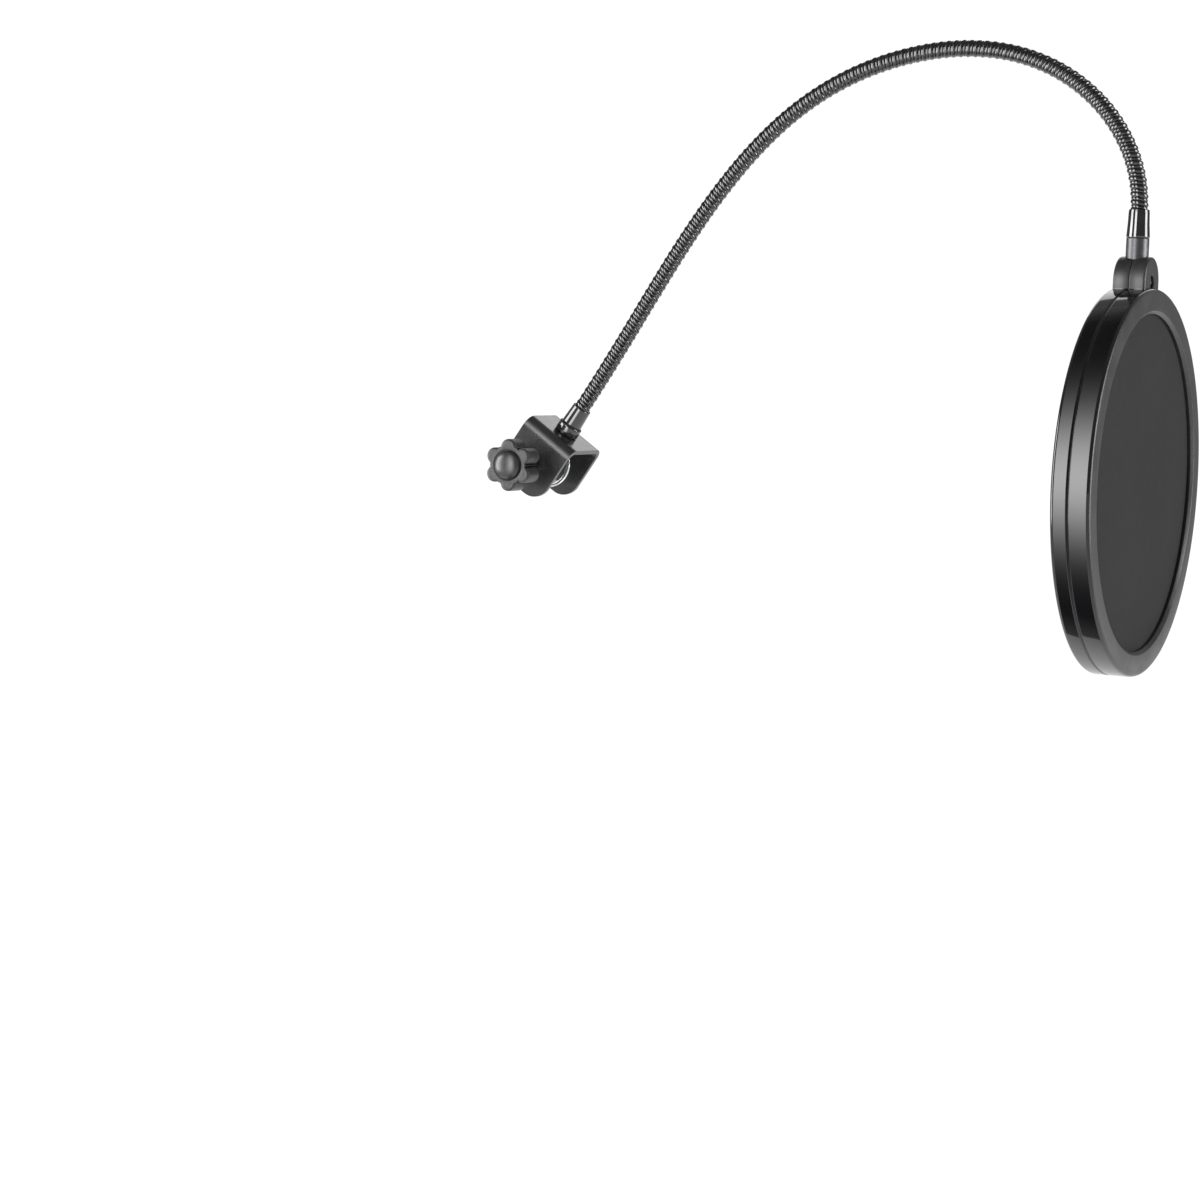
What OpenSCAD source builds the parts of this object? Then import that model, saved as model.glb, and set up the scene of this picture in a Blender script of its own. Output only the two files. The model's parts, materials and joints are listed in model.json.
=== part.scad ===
// Pop filter on a flexible arm with a screw clamp.
// Millimetres, +Z up. The origin is the middle of the clamp's fixed jaw face, on the clamp
// screw's axis. The screw runs along Y, the arm lies in one plane across it, and the screens face +X.

/* [Screen rings] */
// Outer radius of both screen rings
ring_r = 77.5; // [60:0.5:95]
// Radius of the open screen area
open_r = 67.5; // [52:0.5:72]
// Depth of the front ring, from the split to its front face
front_depth = 9; // [6:0.5:14]
// Depth of the rear ring, from the split to its rear face
rear_depth = 7; // [6:0.5:14]
// Wall of the rim
rim_wall = 3; // [2:0.1:4]
// Thickness of the lip in front of each screen
lip_t = 2.5; // [1.5:0.1:4]
// Rounding of the rim's outer edge
edge_r = 1.6; // [0.6:0.1:2]
// Bevel on the lip's inner edge
lip_bevel = 1.2; // [0.4:0.1:1.8]
// Size of the V groove where the two rings meet
groove = 0.8; // [0.3:0.1:1.2]
// Reach of the rear ring's tongue into the front ring
tongue_h = 2.5; // [1:0.1:3]
// Thickness of the tongue
tongue_t = 1.2; // [0.8:0.1:2]

/* [Screens] */
// Thickness of each stretched screen
mesh_t = 0.4; // [0.2:0.1:0.8]
// Thickness of the hoop that holds each screen against its lip
hoop_t = 2; // [1:0.1:2.2]
// Width of each hoop past the edge of the open area
hoop_step = 0.7; // [0:0.1:2]

/* [Neck] */
// Width of the neck tab
neck_w = 20; // [16:0.5:28]
// Height of the neck above the rings
neck_rise = 12.5; // [10:0.5:20]
// Depth of the front half of the neck
neck_front = 6.7; // [5.8:0.1:8]
// Depth of the rear half of the neck
neck_rear = 6.7; // [5.8:0.1:7]
// Radius of the neck screw
neck_screw_r = 1.5; // [1:0.25:2]
// Radius of the neck screw's head
neck_head_r = 2.5; // [2:0.1:3]
// Height of the neck screw's head
neck_head_h = 1.8; // [1:0.1:2.4]
// How far the neck screw's head lies below the face
neck_head_sink = 0.9; // [0.2:0.1:1.5]
// Width across the flats of the neck nut
neck_nut_af = 5.5; // [4:0.1:7]
// Height of the neck nut
neck_nut_h = 2.4; // [1.5:0.1:3]

/* [Stem] */
// Radius of the stem sleeve
stem_r = 4.55; // [3.5:0.05:5]
// Length of the sleeve that shows between ferrule and neck
stem_show = 7.3; // [4:0.1:12]
// Depth of the sleeve in the neck
stem_depth = 6.5; // [4:0.1:6.8]
// Depth of the groove that keeps the sleeve in the neck
stem_groove = 0.7; // [0.4:0.1:1]
// Width of that groove
stem_groove_w = 1.4; // [0.8:0.1:2]
// Radius of the spigot inside the ferrule
spigot_r = 3; // [2:0.1:3.6]
// Length of the spigot
spigot_len = 4.5; // [3:0.1:5]

/* [Ferrules] */
// Length of the upper ferrule
ferrule_len = 11.3; // [10.5:0.1:16]
// Radius of the upper ferrule at the arm
ferrule_top_r = 4.15; // [3.8:0.05:5]
// Radius of the upper ferrule at the stem
ferrule_end_r = 4.65; // [4:0.05:5.5]
// Length of the arm inside the upper ferrule
arm_seat = 5; // [3:0.1:6]
// Height of the base collar
collar_h = 4.9; // [3:0.1:8]
// Radius of the base collar
collar_r = 5.3; // [4.6:0.1:7]
// Length of the lower ferrule above the collar
lower_len = 8.8; // [8:0.1:14]
// Radius of the lower ferrule at the arm
lower_top_r = 4.15; // [3.9:0.05:5]
// Radius of the lower ferrule at the collar
lower_end_r = 4.5; // [4:0.05:5.5]

/* [Arm] */
// Length of the flexible arm
arm_len = 350; // [280:5:450]
// Outer radius of the arm
arm_r = 3.6; // [3.5:0.05:4]
// Radius of the ball at each bending point
ball_r = 2.9; // [2.6:0.05:2.95]
// Radius of the neck below each ball
ball_neck_r = 1.5; // [1.2:0.1:1.6]
// Free length from a ball's centre to its solid length
ball_free = 2.8; // [2.7:0.1:4]
// How far each socket reaches past the ball's centre
socket_rim = 0.9; // [0.4:0.1:1]

/* [Bracket] */
// Clear opening between the two legs
jaw_depth = 26; // [24:0.5:40]
// Thickness of the steel strip
strip_t = 2; // [1.5:0.1:3]
// Width of the strip
strip_w = 26; // [22:0.5:40]
// Length of each leg, from the outer face of the web
leg_len = 28.5; // [27:0.5:40]
// Outer radius of both bends
bend_r = 5; // [3.5:0.1:6]
// Rounding of the corners at the end of each leg
corner_r = 8; // [3:0.1:10.5]
// Distance from the outer face of the web to the screw's axis
axis_drop = 16.5; // [16:0.1:24]
// Height of the drawn thread collar inside the front leg
boss_h = 2; // [1:0.1:3]
// Radius of the thread collar
boss_r = 5; // [4.2:0.1:7]

/* [Clamp screw and pad] */
// Radius of the clamp screw
screw_r = 3; // [2.5:0.25:3.5]
// Gap between the pad and the fixed jaw as clamped
grip = 10; // [6:0.5:12]
// Radius of the pressure pad
pad_r = 10.5; // [8:0.1:11]
// Thickness of the pad's flange
pad_rim_t = 1.3; // [0.8:0.1:2]
// Thickness of the pad at its hub
pad_t = 4; // [3:0.1:5]
// Radius of the pad's hub
pad_hub_r = 5; // [4:0.1:6]
// Radius of the pin that turns in the pad
pin_r = 1.9; // [1.5:0.1:2.2]
// Radius of the pin's riveted head
rivet_r = 3; // [2.4:0.1:3.6]
// Thickness of the pin's riveted head
rivet_t = 0.8; // [0.5:0.1:1]
// Width across the flats of the screw's head
head_af = 10; // [8:0.5:11]
// Height of the screw's head
head_h = 4; // [3:0.1:4.5]

/* [Knob] */
// Number of lobes
lobes = 6; // [5:1:8]
// Radius of each lobe
lobe_r = 3.6; // [3:0.1:4]
// Distance of the lobes from the axis
lobe_at = 7.6; // [7:0.1:9]
// Radius of the hollows between the lobes
hollow_r = 2.6; // [2:0.1:3]
// Thickness of the knob
knob_t = 10.5; // [10:0.1:16]
// Gap between the knob and the bracket as clamped
knob_gap = 11; // [10.5:0.1:16]
// Plastic between the back of the knob and the screw's head
knob_floor = 4.5; // [2:0.1:6]
// Radius of the knob's cap
cap_r = 6.2; // [6.1:0.1:6.6]
// Height of the cap's dome
cap_dome = 2.5; // [1:0.1:4]

/* [Arm base screw] */
// Radius of the base screw
base_screw_r = 2.5; // [2:0.1:3]
// Radius of the base screw's head
base_head_r = 4.2; // [3.6:0.1:5]
// Height of the base screw's head
base_head_h = 2.1; // [1.5:0.1:2.4]
// Length of the base screw under its head
base_screw_len = 10.5; // [9:0.1:11]
// Thickness of the washer
washer_t = 0.6; // [0.4:0.1:0.9]
// Radius of the washer
washer_r = 5; // [4.4:0.1:6]

/* [Fits] */
// Radial clearance of anything that turns or slides
run_gap = 0.05; // [0.02:0.01:0.1]
// Radial clearance of anything that is fixed in its seat
seat_gap = 0.03; // [0.01:0.01:0.05]
// End clearance of anything that turns
end_gap = 0.05; // [0.02:0.01:0.15]

/* [Hidden] */
$fn = 64;
tiny = 0.01;
far = 200;

// Lean of the bracket's web from upright, in degrees.
clamp_lean = 34;
// Turn of the knob as clamped, in degrees.
knob_turn = 5;
// Rest bend of each length of the arm, in degrees, from the clamp to the screens.
bends = [-1.5, -1, 1, 3, 5, 8, 11, 11.5, 11, 13.5, 17.5, 19.5, 21.5, 26];
links = len(bends);
link_len = arm_len / links;

web_top = axis_drop;
leg_end = axis_drop - leg_len;
web_mid = -jaw_depth / 2;

// Places along the screw, from the pad's gripping face towards the knob.
leg_in = jaw_depth - grip;
leg_out = leg_in + strip_t;
knob_back = leg_out + knob_gap;
knob_face = knob_back + knob_t;
head_seat = knob_back + knob_floor;
shoulder = pad_t + end_gap;
rivet_pocket = rivet_t + 0.35;

// Places along the ring axis, from the middle of the rings, front positive.
ring_t = front_depth + rear_depth;
split = ring_t / 2 - front_depth;
front_face = split + front_depth;
rear_face = split - rear_depth;
wall_in = ring_r - rim_wall;
front_lip = front_face - lip_t;
rear_lip = rear_face + lip_t;
hoop_out = wall_in - 0.2;

// Heights below the top of the upper ferrule.
stem_top = -ferrule_len;
neck_top = stem_top - stem_show;
neck_axis = neck_top - neck_w / 2;
stem_end = neck_top - stem_depth;
ring_z = neck_top - neck_rise - ring_r;
groove_z = stem_end + 2;

link_names = [for (i = [1:links]) str("arm_link_", i < 10 ? "0" : "", i)];
fixed_names = [
    "clamp_bracket", "clamp_screw", "pressure_pad", "knob", "knob_cap",
    "base_screw", "base_washer", "base_collar", "lower_ferrule",
    "upper_ferrule", "stem_sleeve",
    "front_ring", "rear_ring", "front_hoop", "rear_hoop",
    "front_screen", "rear_screen", "neck_screw", "neck_nut"
];

// ---- Placing -------------------------------------------------------------------------

// The bracket's own frame: x along the gripped tube, y along the screw, z out of the web.
module in_clamp() {
    rotate([0, clamp_lean, 0])
        children();
}

// Along the screw: z runs from the pad's gripping face towards the knob.
module in_screw() {
    in_clamp()
        translate([0, -grip, 0])
            rotate([90, 0, 0])
                children();
}

// On the middle of the web: z runs out along the arm.
module on_web() {
    in_clamp()
        translate([0, web_mid, web_top])
            children();
}

ball_at = collar_h + lower_len - socket_rim;
base_pos = [
    (web_top + ball_at) * sin(clamp_lean),
    web_mid,
    (web_top + ball_at) * cos(clamp_lean)
];

function sum_to(list, n) = n <= 0 ? 0 : list[n - 1] + sum_to(list, n - 1);
function heading(k) = clamp_lean + sum_to(bends, k);
function bend_radius(a) = link_len * 180 / (PI * a);
function chord(a) = abs(a) < 0.01 ? link_len : 2 * bend_radius(a) * sin(a / 2);
function step_of(k) =
    let (a = heading(k) + bends[k] / 2, c = chord(bends[k]))
    [c * sin(a), 0, c * cos(a)];
function joint_pos(k) = k <= 0 ? base_pos : joint_pos(k - 1) + step_of(k - 1);

// At bending point k: z runs along the arm, x towards the inside of its arch.
module at_joint(k) {
    translate(joint_pos(k))
        rotate([0, heading(k), 0])
            children();
}

// At the top of the upper ferrule: z up, x to the front of the screens.
module at_stem() {
    translate(joint_pos(links))
        rotate([0, heading(links) - 180, 0])
            children();
}

// In the middle of the rings, with z along the ring axis to the front.
module on_ring_axis() {
    at_stem()
        translate([-split, 0, ring_z])
            rotate([0, 90, 0])
                children();
}

// ---- Shared shapes -------------------------------------------------------------------

module disc(r, z0, z1) {
    translate([0, 0, z0])
        cylinder(r = r, h = z1 - z0);
}

module tube(r_out, r_in, z0, z1) {
    difference() {
        disc(r_out, z0, z1);
        disc(r_in, z0 - 1, z1 + 1);
    }
}

module hex(af, z0, z1) {
    translate([0, 0, z0])
        cylinder(d = af / cos(30), h = z1 - z0, $fn = 6);
}

// Points of a rounded corner about c, from angle a0 to a1.
function corner(c, r, a0, a1, n = 4) =
    [for (i = [0:n]) c + r * [cos(a0 + (a1 - a0) * i / n), sin(a0 + (a1 - a0) * i / n)]];

// ---- Clamp ---------------------------------------------------------------------------

// Side view of the bent strip: a U with its web on top, open below.
module arch_outline(y0, y1, top, r) {
    translate([y0, leg_end - 1])
        square([y1 - y0, top - r - leg_end + 1]);
    translate([y0 + r, leg_end - 1])
        square([y1 - y0 - 2 * r, top - leg_end + 1]);
    for (y = [y0 + r, y1 - r])
        translate([y, top - r])
            circle(r = r);
}

// Face view of a leg, with both lower corners rounded.
module leg_outline() {
    translate([-strip_w / 2, leg_end + corner_r])
        square([strip_w, leg_len]);
    translate([corner_r - strip_w / 2, leg_end])
        square([strip_w - 2 * corner_r, leg_len]);
    for (s = [-1, 1])
        translate([s * (strip_w / 2 - corner_r), leg_end + corner_r])
            circle(r = corner_r);
}

module clamp_bracket() {
    color("dimgray")
        in_clamp()
            difference() {
                union() {
                    intersection() {
                        rotate([90, 0, 90])
                            linear_extrude(strip_w, center = true)
                                difference() {
                                    arch_outline(-jaw_depth - strip_t, strip_t, web_top, bend_r);
                                    translate([0, -tiny])
                                        arch_outline(-jaw_depth, 0, web_top - strip_t + tiny,
                                                     bend_r - strip_t);
                                }
                        rotate([90, 0, 0])
                            linear_extrude(far, center = true)
                                leg_outline();
                    }
                    translate([0, -jaw_depth, 0])
                        rotate([90, 0, 0])
                            disc(boss_r, -boss_h, tiny);
                }
                translate([0, -jaw_depth, 0])
                    rotate([90, 0, 0])
                        disc(screw_r + run_gap, -boss_h - 1, strip_t + 1);
                translate([0, web_mid, 0])
                    disc(base_screw_r + run_gap, web_top - strip_t - 1, web_top + 1);
            }
}

module pressure_pad() {
    color("silver")
        in_screw()
            rotate_extrude()
                polygon([
                    [pin_r + run_gap, rivet_pocket],
                    [rivet_r + 0.3, rivet_pocket],
                    [rivet_r + 0.3, 0],
                    [pad_r, 0],
                    [pad_r, pad_rim_t],
                    [pad_r - 1.6, pad_rim_t],
                    [pad_hub_r + 1, pad_rim_t + 0.5],
                    [pad_hub_r, pad_t],
                    [pin_r + run_gap, pad_t]
                ]);
}

module clamp_screw() {
    color("silver")
        in_screw() {
            disc(rivet_r, rivet_pocket - end_gap - rivet_t, rivet_pocket - end_gap);
            disc(pin_r, rivet_pocket - end_gap - tiny, shoulder + tiny);
            disc(screw_r, shoulder, head_seat + tiny);
            hex(head_af, head_seat, head_seat + head_h);
        }
}

// Outline of the knob: a round core and round lobes, with a round hollow between each two lobes
// that runs a hair into both.
hollow_bite = 0.05;
hollow_at = lobe_at * cos(180 / lobes)
    + sqrt(pow(lobe_r + hollow_r, 2) - pow(lobe_at * sin(180 / lobes), 2));

function around(r, i) = r * [cos(360 * i / lobes), sin(360 * i / lobes)];

module knob_outline() {
    lobe = around(lobe_at, 0);
    hollow = around(hollow_at, 0.5);
    meeting = lobe + (hollow - lobe) * lobe_r / (lobe_r + hollow_r);
    difference() {
        union() {
            circle(r = norm(meeting) - 3 * hollow_bite);
            for (i = [0:lobes - 1])
                translate(around(lobe_at, i))
                    circle(r = lobe_r);
        }
        for (i = [0:lobes - 1])
            translate(around(hollow_at, i + 0.5))
                circle(r = hollow_r + hollow_bite);
    }
}

module knob() {
    color([0.2, 0.2, 0.21])
        in_screw()
            difference() {
                translate([0, 0, knob_back])
                    rotate([0, 0, knob_turn])
                        linear_extrude(knob_t)
                            knob_outline();
                disc(screw_r + seat_gap, knob_back - 1, head_seat + 1);
                hex(head_af + 2 * seat_gap, head_seat, head_seat + head_h + 1);
                disc(cap_r + seat_gap, head_seat + head_h, knob_face + 1);
            }
}

module knob_cap() {
    dome_r = (cap_r * cap_r + cap_dome * cap_dome) / (2 * cap_dome);
    color([0.12, 0.12, 0.13])
        in_screw() {
            disc(cap_r, head_seat + head_h + seat_gap, knob_face + tiny);
            intersection() {
                translate([0, 0, knob_face + cap_dome - dome_r])
                    sphere(r = dome_r, $fn = 96);
                disc(cap_r, knob_face, knob_face + cap_dome + 1);
            }
        }
}

// ---- Foot of the arm -----------------------------------------------------------------

module base_screw() {
    color("silver")
        on_web() {
            disc(base_head_r, -strip_t - washer_t - base_head_h, -strip_t - washer_t);
            disc(base_screw_r, -strip_t - washer_t - tiny, base_screw_len - strip_t - washer_t);
        }
}

module base_washer() {
    color("silver")
        on_web()
            tube(washer_r, base_screw_r + run_gap, -strip_t - washer_t, -strip_t);
}

module base_collar() {
    color([0.08, 0.08, 0.09])
        on_web()
            rotate_extrude()
                polygon(concat(
                    [[base_screw_r + seat_gap, 0], [collar_r - 0.2, 0], [collar_r, 0.2]],
                    corner([collar_r - 0.8, collar_h - 0.8], 0.8, 0, 90),
                    [[base_screw_r + seat_gap, collar_h]]
                ));
}

module lower_ferrule() {
    screw_end = base_screw_len - strip_t - washer_t;
    color([0.08, 0.08, 0.09])
        on_web()
            difference() {
                translate([0, 0, collar_h])
                    cylinder(r1 = lower_end_r, r2 = lower_top_r, h = lower_len);
                disc(base_screw_r + seat_gap, collar_h - 1, screw_end + 0.3);
                translate([0, 0, ball_at])
                    sphere(r = ball_r + run_gap);
            }
}

// ---- Arm -----------------------------------------------------------------------------

// The arm's solid stretch with bend a, between two distances z0 and z1 along it.
module bent_rod(a, z0, z1) {
    r = abs(bend_radius(a));
    turn = abs(a) / link_len;
    side = a < 0 ? 180 : 0;
    rotate([0, 0, side])
        translate([r, 0, 0])
            rotate([90, 0, 0])
                rotate([0, 0, 180 - turn * z1])
                    rotate_extrude(angle = turn * (z1 - z0), $fn = 96)
                        translate([r, 0])
                            circle(r = arm_r, $fn = 48);
}

// The far end of a length with bend a, z along the arm.
module at_link_end(a) {
    c = chord(a);
    translate([c * sin(a / 2), 0, c * cos(a / 2)])
        rotate([0, a, 0])
            children();
}

module arm_link(k) {
    a = bends[k];
    last = k == links - 1;
    color([0.1, 0.1, 0.11])
        at_joint(k) {
            sphere(r = ball_r);
            disc(ball_neck_r, 0, ball_free + 0.2);
            difference() {
                bent_rod(a, ball_free, last ? link_len : link_len + socket_rim);
                if (!last)
                    at_link_end(a)
                        sphere(r = ball_r + run_gap);
            }
            if (last)
                at_link_end(a)
                    disc(arm_r - 0.2, -1, arm_seat);
        }
}

// ---- Stem ----------------------------------------------------------------------------

module upper_ferrule() {
    color([0.08, 0.08, 0.09])
        at_stem()
            difference() {
                rotate_extrude()
                    polygon(concat(
                        [[0, 0]],
                        corner([ferrule_top_r - 0.8, -0.8], 0.8, 90, 0),
                        [[ferrule_end_r, 0.4 - ferrule_len], [ferrule_end_r - 0.2, -ferrule_len],
                         [0, -ferrule_len]]
                    ));
                disc(arm_r + seat_gap, -arm_seat - seat_gap, 1);
                disc(spigot_r + seat_gap, -ferrule_len - 1, spigot_len + 0.3 - ferrule_len);
            }
}

module stem_sleeve() {
    color("gray")
        at_stem()
            difference() {
                union() {
                    disc(stem_r, stem_end, stem_top);
                    disc(spigot_r, stem_top - tiny, stem_top + spigot_len);
                }
                tube(stem_r + 1, stem_r - stem_groove, groove_z, groove_z + stem_groove_w);
            }
}

// ---- Rings and screens ---------------------------------------------------------------

module rear_ring_section() {
    root = wall_in - tongue_t - run_gap;
    polygon(concat(
        [[ring_r - groove, split], [wall_in - run_gap, split],
         [wall_in - run_gap, split + tongue_h], [root, split + tongue_h],
         [root, split - 2], [wall_in, split - 2],
         [wall_in, rear_lip], [open_r, rear_lip],
         [open_r, rear_face + lip_bevel], [open_r + lip_bevel, rear_face]],
        corner([ring_r - edge_r, rear_face + edge_r], edge_r, -90, 0),
        [[ring_r, split - groove]]
    ));
}

module front_ring_section() {
    polygon(concat(
        [[ring_r - groove, split], [ring_r, split + groove]],
        corner([ring_r - edge_r, front_face - edge_r], edge_r, 0, 90),
        [[open_r + lip_bevel, front_face], [open_r, front_face - lip_bevel],
         [open_r, front_lip], [wall_in, front_lip], [wall_in, split]]
    ));
}

// Face view of the neck tab: a round top over the screw, running down into the rim.
module neck_outline() {
    drop = neck_axis - ring_z;
    difference() {
        union() {
            translate([0, drop])
                circle(d = neck_w);
            translate([-neck_w / 2, 0])
                square([neck_w, drop]);
        }
        circle(r = ring_r - rim_wall / 2, $fn = 180);
    }
}

// The slab of one half of the neck between two places on the ring axis.
module neck_half(x0, x1) {
    at_stem()
        translate([x0 - split, 0, ring_z])
            rotate([90, 0, 90])
                linear_extrude(x1 - x0)
                    neck_outline();
}

// The round socket that the stem turns in, with the rib that fills its groove.
module stem_socket() {
    at_stem()
        difference() {
            disc(stem_r + run_gap, stem_end - end_gap, neck_top + 5);
            tube(stem_r + 1, stem_r + run_gap - stem_groove,
                 groove_z + end_gap, groove_z + stem_groove_w - end_gap);
        }
}

module on_neck_axis() {
    at_stem()
        translate([-split, 0, neck_axis])
            rotate([0, 90, 0])
                children();
}

neck_face = split + neck_front;
neck_back = split - neck_rear;
head_floor = neck_face - neck_head_sink - neck_head_h;
nut_floor = neck_back + neck_nut_h + 0.4;

module front_ring() {
    color([0.09, 0.09, 0.1])
        difference() {
            union() {
                on_ring_axis()
                    rotate_extrude($fn = 180)
                        front_ring_section();
                neck_half(split, neck_face);
            }
            stem_socket();
            on_neck_axis() {
                disc(neck_screw_r + run_gap, split - 1, neck_face + 1);
                disc(neck_head_r + 0.3, head_floor, neck_face + 1);
            }
        }
}

module rear_ring() {
    color([0.09, 0.09, 0.1])
        difference() {
            union() {
                on_ring_axis()
                    rotate_extrude($fn = 180)
                        rear_ring_section();
                neck_half(neck_back, split);
            }
            stem_socket();
            on_neck_axis() {
                disc(neck_screw_r + run_gap, neck_back - 1, split + 1);
                hex(neck_nut_af + 2 * seat_gap, neck_back - 1, nut_floor);
            }
        }
}

module front_hoop() {
    color([0.15, 0.15, 0.16])
        on_ring_axis()
            tube(hoop_out, open_r + hoop_step, front_lip - mesh_t - hoop_t, front_lip - mesh_t);
}

module rear_hoop() {
    color([0.15, 0.15, 0.16])
        on_ring_axis()
            tube(hoop_out, open_r + hoop_step, rear_lip + mesh_t, rear_lip + mesh_t + hoop_t);
}

module front_screen() {
    color([0.2, 0.2, 0.2])
        on_ring_axis()
            disc(hoop_out, front_lip - mesh_t, front_lip, $fn = 180);
}

module rear_screen() {
    color([0.2, 0.2, 0.2])
        on_ring_axis()
            disc(hoop_out, rear_lip, rear_lip + mesh_t, $fn = 180);
}

module neck_screw() {
    color("silver")
        on_neck_axis() {
            disc(neck_head_r, head_floor, head_floor + neck_head_h);
            disc(neck_screw_r, nut_floor - neck_nut_h, head_floor + tiny);
        }
}

module neck_nut() {
    color("silver")
        on_neck_axis()
            difference() {
                hex(neck_nut_af, nut_floor - neck_nut_h, nut_floor);
                disc(neck_screw_r + seat_gap, nut_floor - neck_nut_h - 1, nut_floor + 1);
            }
}

// ---- Nodes ---------------------------------------------------------------------------

clamp_bracket();
clamp_screw();
pressure_pad();
knob();
knob_cap();
base_screw();
base_washer();
base_collar();
lower_ferrule();
upper_ferrule();
stem_sleeve();
front_ring();
rear_ring();
front_hoop();
rear_hoop();
front_screen();
rear_screen();
neck_screw();
neck_nut();
for (k = [0:links - 1])
    arm_link(k);
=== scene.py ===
# %% [markdown]
# # A pop filter, piece by piece
# Two fabric screens in a round frame keep puffs of breath off a microphone. The frame hangs from a
# wound metal arm, and a screw clamp holds the arm's foot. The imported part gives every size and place,
# so this file only makes the looks: finer shapes where a plain solid is too sharp, and the finishes.

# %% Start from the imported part
import json
import math
import bpy
import bmesh
from mathutils import Matrix, Vector


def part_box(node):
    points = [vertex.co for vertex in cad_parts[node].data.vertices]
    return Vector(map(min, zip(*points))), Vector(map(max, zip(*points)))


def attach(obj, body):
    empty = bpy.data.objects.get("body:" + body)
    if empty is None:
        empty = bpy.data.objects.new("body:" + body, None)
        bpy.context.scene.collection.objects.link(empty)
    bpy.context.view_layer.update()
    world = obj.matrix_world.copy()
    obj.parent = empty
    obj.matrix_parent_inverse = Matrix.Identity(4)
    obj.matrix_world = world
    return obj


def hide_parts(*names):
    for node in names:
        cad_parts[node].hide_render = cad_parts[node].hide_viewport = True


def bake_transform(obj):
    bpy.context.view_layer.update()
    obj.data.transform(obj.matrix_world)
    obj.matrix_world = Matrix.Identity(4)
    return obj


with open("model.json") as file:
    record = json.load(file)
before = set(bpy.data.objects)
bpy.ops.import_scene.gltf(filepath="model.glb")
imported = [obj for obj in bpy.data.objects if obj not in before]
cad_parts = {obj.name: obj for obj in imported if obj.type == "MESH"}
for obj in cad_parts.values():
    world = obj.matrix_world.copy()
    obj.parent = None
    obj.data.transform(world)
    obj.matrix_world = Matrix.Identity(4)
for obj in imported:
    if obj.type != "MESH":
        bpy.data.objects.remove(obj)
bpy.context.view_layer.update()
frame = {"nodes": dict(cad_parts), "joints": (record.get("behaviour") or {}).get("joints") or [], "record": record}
MM = 0.001

# %% [markdown]
# ## Where things are
# Four lines carry every piece: the clamp screw, the line out of the clamp's web, the arm's own curve
# and the axis of the round frame. The screw lies on the part's own Y axis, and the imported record
# gives the other three.

# %% Read the main places from the record
LINKS = 14
joints = {j["name"]: j for j in frame["joints"]}
mounts = {m["name"]: m for m in frame["record"]["mounts"]}


def joint_place(name):
    return Vector(joints[name]["pos_m"])


arm_feet = [joint_place(f"arm_bend_{k:02d}") for k in range(1, LINKS + 1)]
web_normal = -Vector(mounts["jaw"]["axis"]).normalized()
screw_along = Vector((0, -1, 0))
tube_along = Vector((0, 1, 0)).cross(web_normal).normalized()
ring_low, ring_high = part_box("front_ring")
rear_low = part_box("rear_ring")[0]
swivel = joint_place("screens_swivel")
lean = math.atan2(web_normal.x, web_normal.z)
print("web leans", round(math.degrees(lean), 1), "degrees; joints in the arm:", len(arm_feet))


def placing(origin, x, z):
    """The matrix that puts a piece's own x and z axes along two directions, from an origin."""
    z = z.normalized()
    x = (x - z * x.dot(z)).normalized()
    y = z.cross(x)
    return Matrix(((x.x, y.x, z.x, origin.x), (x.y, y.y, z.y, origin.y),
                   (x.z, y.z, z.z, origin.z), (0, 0, 0, 1)))


UP = Vector((0, 0, 1))
FRONT = Vector((1, 0, 0))
GRIP = 10 * MM
screw_frame = placing(Vector((0, -GRIP, 0)), tube_along, screw_along)
FIRST_BEND_UP = 12.8 * MM
web_origin = arm_feet[0] - web_normal * FIRST_BEND_UP
web_frame = placing(web_origin, tube_along, web_normal)

# %% [markdown]
# ## The camera
# The camera stands a little in front of the screens and looks along the clamp's screw, so the round
# frame shows mostly its side wall. A long lens keeps the arm's arch from looking stretched.

# %% Camera
CAMERA_AT = Vector((0.60106, -1.18445, 0.05508))
CAMERA_RIGHT = Vector((0.89659702, 0.44150585, 0.03444378))
CAMERA_BACK = Vector((0.43742793, -0.89507269, 0.08661221))
LENS, SENSOR = 90, 36
lens = bpy.data.cameras.new("camera")
lens.lens = LENS
lens.sensor_width = SENSOR
lens.clip_end = 50
camera = bpy.data.objects.new("camera", lens)
camera.matrix_world = placing(CAMERA_AT, CAMERA_RIGHT, CAMERA_BACK)
bpy.context.scene.collection.objects.link(camera)
bpy.context.scene.camera = camera
print("camera to origin, m:", round(CAMERA_AT.length, 3))

# %% [markdown]
# ## Writing materials as sums
# A material is a small network of nodes. Joining nodes one by one hides what the network works out,
# so this class wraps one socket: adding or multiplying two of them adds the Math node for it, and
# `node` adds any other kind. The same class serves geometry trees, which share the Math node.

# %% A socket that can be added and multiplied


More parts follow.
